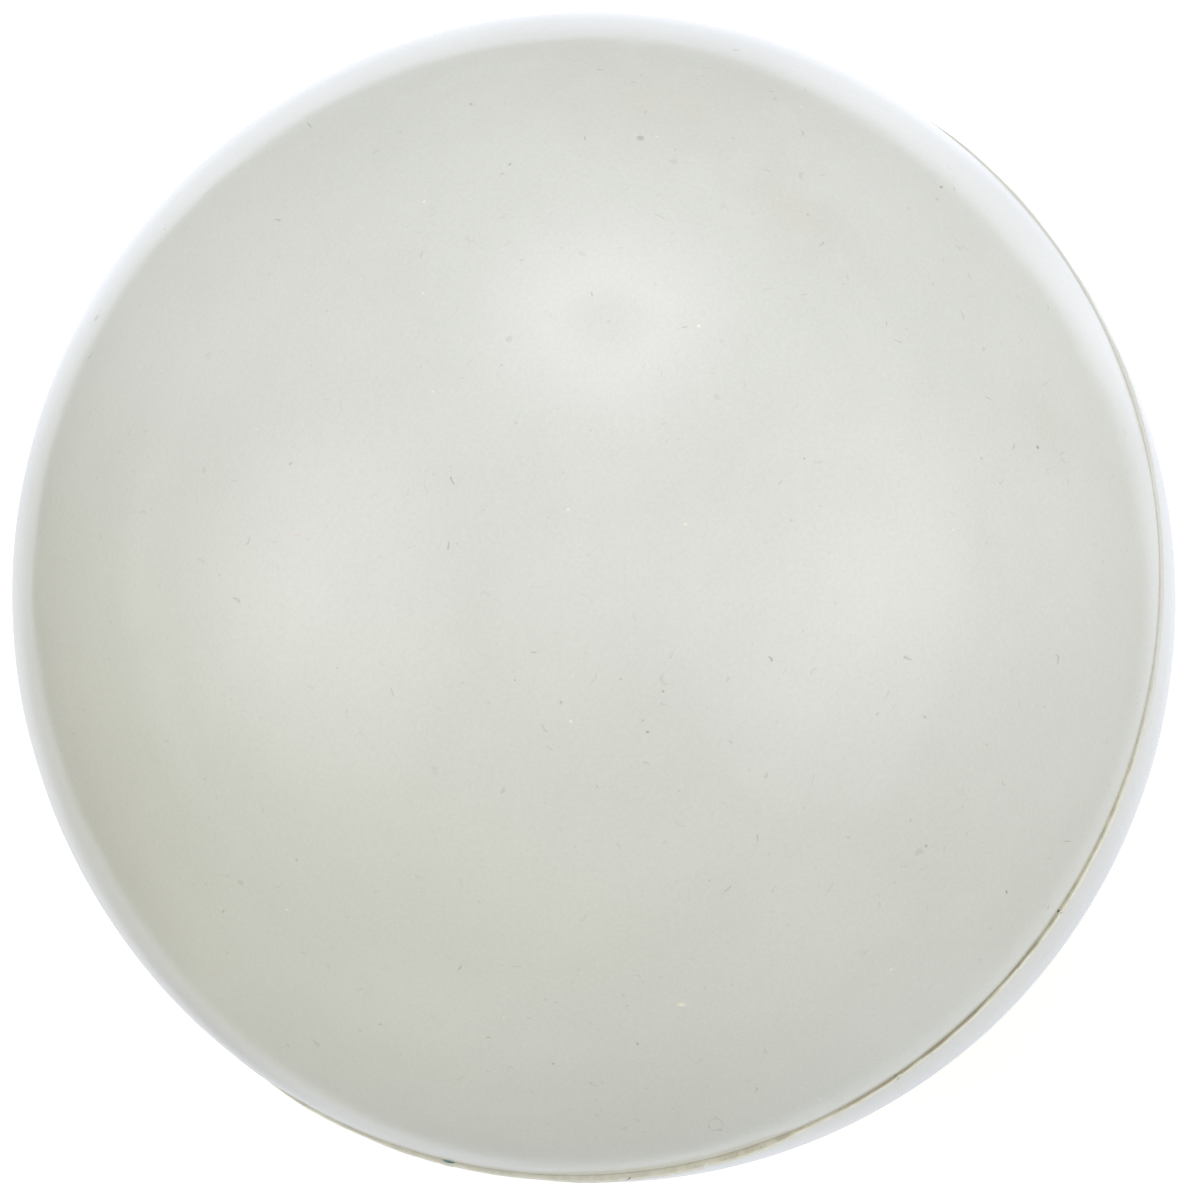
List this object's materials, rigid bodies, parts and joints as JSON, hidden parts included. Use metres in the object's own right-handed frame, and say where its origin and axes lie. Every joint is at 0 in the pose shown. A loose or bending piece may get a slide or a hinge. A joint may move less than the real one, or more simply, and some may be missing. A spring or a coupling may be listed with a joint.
{
  "type": "lacrosse ball",
  "caption": "Solid moulded rubber lacrosse ball, plain off-white, with a low trimmed flash line round its mould's parting plane.",
  "frame": {"origin": "centre of the ball, on the mould's parting plane", "axes": "+Z is square to the parting plane, the way the mould opens; X and Y lie in the parting plane, any way round"},
  "size_m": [0.064, 0.064, 0.0636],
  "materials": {
    "moulded_rubber": "satin, as moulded",
    "trimmed_flash": "matt, trimmed and grimy"
  },
  "bodies": {
    "root": {"upper_half": "moulded_rubber", "lower_half": "moulded_rubber", "parting_flash": "trimmed_flash"}
  },
  "joints": []
}
